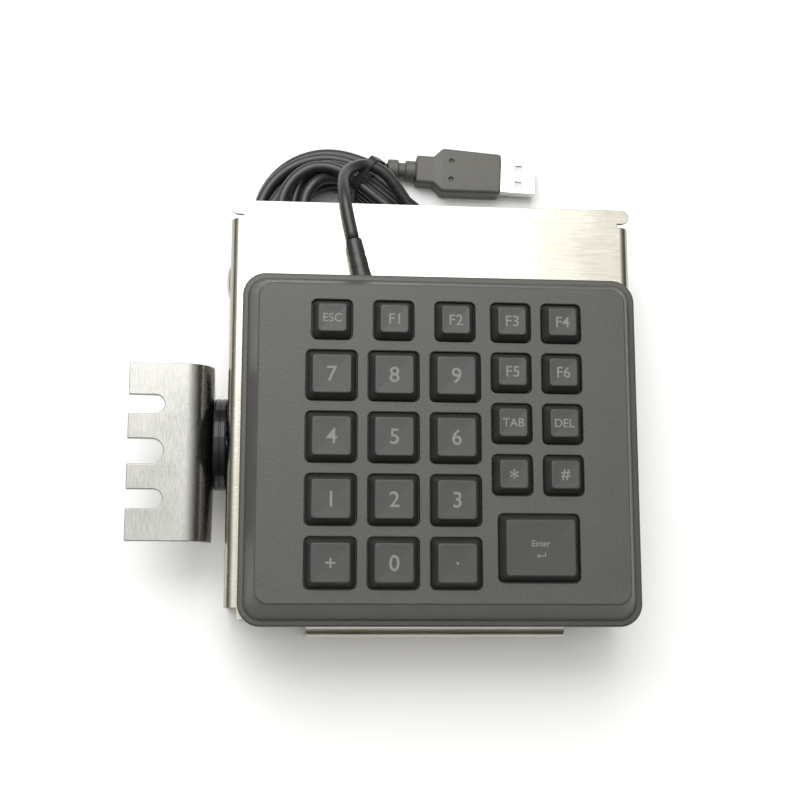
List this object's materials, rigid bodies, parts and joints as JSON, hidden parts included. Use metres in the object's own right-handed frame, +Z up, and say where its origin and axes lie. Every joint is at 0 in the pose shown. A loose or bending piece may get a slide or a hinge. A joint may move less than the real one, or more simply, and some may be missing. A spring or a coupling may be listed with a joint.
{
  "type": "numeric keypad",
  "caption": "Programmable numeric keypad on a bent metal tray with a tilting slotted side bracket, its USB lead coiled behind it.",
  "frame": {"origin": "bottom centre of the tray and bracket together, on the surface the tray stands on, cable and plug left out", "axes": "+X to the right as a user reads the keys, +Y to the rear where the lead leaves, +Z up out of the keys"},
  "size_m": [0.1624, 0.169, 0.053],
  "materials": {
    "cover_plastic": "fine spark-eroded texture",
    "key_plastic": "fine matte texture, pale printed legends",
    "inner_plastic": "plain moulded",
    "silicone": "soft matte",
    "film": "clear polyester film with printed tracks",
    "board": "solder mask on glass epoxy",
    "chip": "moulded epoxy",
    "tray_metal": "bright brushed stainless sheet",
    "bracket_metal": "satin plated sheet",
    "zinc": "zinc plated",
    "gloss_black": "glossy moulded",
    "cord_black": "satin PVC jacket",
    "plug_grey": "moulded PVC",
    "plug_metal": "bright nickel plated",
    "pale_nylon": "moulded nylon",
    "legend_ink": "pad-printed ink on the key tops"
  },
  "bodies": {
    "base": {"mounting_tray": "tray_metal", "flange_rivet": "zinc", "tray_screw_1": "zinc", "tray_screw_2": "zinc", "tray_screw_3": "zinc", "tray_screw_4": "zinc", "bottom_cover": "cover_plastic", "top_cover": "cover_plastic", "case_screw_1": "zinc", "case_screw_2": "zinc", "case_screw_3": "zinc", "case_screw_4": "zinc", "key_guide_frame": "inner_plastic", "rubber_dome_mat": "silicone", "membrane_sheet": "film", "stiffener_plate": "zinc", "controller_board": "board", "controller_chip": "chip", "board_connector": "silicone", "inner_lead": "cord_black", "cable_strain_relief": "cord_black", "pivot_spacer": "gloss_black", "pivot_washer": "zinc", "pivot_nut": "zinc", "pivot_bolt": "zinc", "usb_cable_lead": "cord_black", "cable_coil": "cord_black", "cable_tie": "inner_plastic", "usb_cable_tail": "cord_black", "usb_plug_body": "plug_grey", "usb_plug_shell": "plug_metal", "usb_plug_tongue": "pale_nylon"},
    "bracket": {"pivot_bracket": "bracket_metal"},
    "key_esc": {"key_esc": "key_plastic"},
    "key_f1": {"key_f1": "key_plastic"},
    "key_f2": {"key_f2": "key_plastic"},
    "key_f3": {"key_f3": "key_plastic"},
    "key_f4": {"key_f4": "key_plastic"},
    "key_f5": {"key_f5": "key_plastic"},
    "key_f6": {"key_f6": "key_plastic"},
    "key_tab": {"key_tab": "key_plastic"},
    "key_del": {"key_del": "key_plastic"},
    "key_star": {"key_star": "key_plastic"},
    "key_hash": {"key_hash": "key_plastic"},
    "key_7": {"key_7": "key_plastic"},
    "key_8": {"key_8": "key_plastic"},
    "key_9": {"key_9": "key_plastic"},
    "key_4": {"key_4": "key_plastic"},
    "key_5": {"key_5": "key_plastic"},
    "key_6": {"key_6": "key_plastic"},
    "key_1": {"key_1": "key_plastic"},
    "key_2": {"key_2": "key_plastic"},
    "key_3": {"key_3": "key_plastic"},
    "key_plus": {"key_plus": "key_plastic"},
    "key_0": {"key_0": "key_plastic"},
    "key_dot": {"key_dot": "key_plastic"},
    "key_enter": {"key_enter": "key_plastic"}
  },
  "joints": [
    {"name": "bracket_tilt", "type": "hinge", "parent": "base", "child": "bracket", "pos_m": [-0.0548, -0.0082, 0.016], "axis": [1, 0, 0], "range_deg": [-45, 45]},
    {"name": "press_esc", "type": "slide", "parent": "base", "child": "key_esc", "axis": [0, 0, -1], "range_m": [0, 0.002], "stiffness_N_per_m": 250, "springref_m": -0.0006, "deforming": ["rubber_dome_mat"]},
    {"name": "press_f1", "type": "slide", "parent": "base", "child": "key_f1", "axis": [0, 0, -1], "range_m": [0, 0.002], "stiffness_N_per_m": 250, "springref_m": -0.0006, "deforming": ["rubber_dome_mat"]},
    {"name": "press_f2", "type": "slide", "parent": "base", "child": "key_f2", "axis": [0, 0, -1], "range_m": [0, 0.002], "stiffness_N_per_m": 250, "springref_m": -0.0006, "deforming": ["rubber_dome_mat"]},
    {"name": "press_f3", "type": "slide", "parent": "base", "child": "key_f3", "axis": [0, 0, -1], "range_m": [0, 0.002], "stiffness_N_per_m": 250, "springref_m": -0.0006, "deforming": ["rubber_dome_mat"]},
    {"name": "press_f4", "type": "slide", "parent": "base", "child": "key_f4", "axis": [0, 0, -1], "range_m": [0, 0.002], "stiffness_N_per_m": 250, "springref_m": -0.0006, "deforming": ["rubber_dome_mat"]},
    {"name": "press_f5", "type": "slide", "parent": "base", "child": "key_f5", "axis": [0, 0, -1], "range_m": [0, 0.002], "stiffness_N_per_m": 250, "springref_m": -0.0006, "deforming": ["rubber_dome_mat"]},
    {"name": "press_f6", "type": "slide", "parent": "base", "child": "key_f6", "axis": [0, 0, -1], "range_m": [0, 0.002], "stiffness_N_per_m": 250, "springref_m": -0.0006, "deforming": ["rubber_dome_mat"]},
    {"name": "press_tab", "type": "slide", "parent": "base", "child": "key_tab", "axis": [0, 0, -1], "range_m": [0, 0.002], "stiffness_N_per_m": 250, "springref_m": -0.0006, "deforming": ["rubber_dome_mat"]},
    {"name": "press_del", "type": "slide", "parent": "base", "child": "key_del", "axis": [0, 0, -1], "range_m": [0, 0.002], "stiffness_N_per_m": 250, "springref_m": -0.0006, "deforming": ["rubber_dome_mat"]},
    {"name": "press_star", "type": "slide", "parent": "base", "child": "key_star", "axis": [0, 0, -1], "range_m": [0, 0.002], "stiffness_N_per_m": 250, "springref_m": -0.0006, "deforming": ["rubber_dome_mat"]},
    {"name": "press_hash", "type": "slide", "parent": "base", "child": "key_hash", "axis": [0, 0, -1], "range_m": [0, 0.002], "stiffness_N_per_m": 250, "springref_m": -0.0006, "deforming": ["rubber_dome_mat"]},
    {"name": "press_7", "type": "slide", "parent": "base", "child": "key_7", "axis": [0, 0, -1], "range_m": [0, 0.002], "stiffness_N_per_m": 250, "springref_m": -0.0006, "deforming": ["rubber_dome_mat"]},
    {"name": "press_8", "type": "slide", "parent": "base", "child": "key_8", "axis": [0, 0, -1], "range_m": [0, 0.002], "stiffness_N_per_m": 250, "springref_m": -0.0006, "deforming": ["rubber_dome_mat"]},
    {"name": "press_9", "type": "slide", "parent": "base", "child": "key_9", "axis": [0, 0, -1], "range_m": [0, 0.002], "stiffness_N_per_m": 250, "springref_m": -0.0006, "deforming": ["rubber_dome_mat"]},
    {"name": "press_4", "type": "slide", "parent": "base", "child": "key_4", "axis": [0, 0, -1], "range_m": [0, 0.002], "stiffness_N_per_m": 250, "springref_m": -0.0006, "deforming": ["rubber_dome_mat"]},
    {"name": "press_5", "type": "slide", "parent": "base", "child": "key_5", "axis": [0, 0, -1], "range_m": [0, 0.002], "stiffness_N_per_m": 250, "springref_m": -0.0006, "deforming": ["rubber_dome_mat"]},
    {"name": "press_6", "type": "slide", "parent": "base", "child": "key_6", "axis": [0, 0, -1], "range_m": [0, 0.002], "stiffness_N_per_m": 250, "springref_m": -0.0006, "deforming": ["rubber_dome_mat"]},
    {"name": "press_1", "type": "slide", "parent": "base", "child": "key_1", "axis": [0, 0, -1], "range_m": [0, 0.002], "stiffness_N_per_m": 250, "springref_m": -0.0006, "deforming": ["rubber_dome_mat"]},
    {"name": "press_2", "type": "slide", "parent": "base", "child": "key_2", "axis": [0, 0, -1], "range_m": [0, 0.002], "stiffness_N_per_m": 250, "springref_m": -0.0006, "deforming": ["rubber_dome_mat"]},
    {"name": "press_3", "type": "slide", "parent": "base", "child": "key_3", "axis": [0, 0, -1], "range_m": [0, 0.002], "stiffness_N_per_m": 250, "springref_m": -0.0006, "deforming": ["rubber_dome_mat"]},
    {"name": "press_plus", "type": "slide", "parent": "base", "child": "key_plus", "axis": [0, 0, -1], "range_m": [0, 0.002], "stiffness_N_per_m": 250, "springref_m": -0.0006, "deforming": ["rubber_dome_mat"]},
    {"name": "press_0", "type": "slide", "parent": "base", "child": "key_0", "axis": [0, 0, -1], "range_m": [0, 0.002], "stiffness_N_per_m": 250, "springref_m": -0.0006, "deforming": ["rubber_dome_mat"]},
    {"name": "press_dot", "type": "slide", "parent": "base", "child": "key_dot", "axis": [0, 0, -1], "range_m": [0, 0.002], "stiffness_N_per_m": 250, "springref_m": -0.0006, "deforming": ["rubber_dome_mat"]},
    {"name": "press_enter", "type": "slide", "parent": "base", "child": "key_enter", "axis": [0, 0, -1], "range_m": [0, 0.002], "stiffness_N_per_m": 250, "springref_m": -0.0006, "deforming": ["rubber_dome_mat"]}
  ]
}
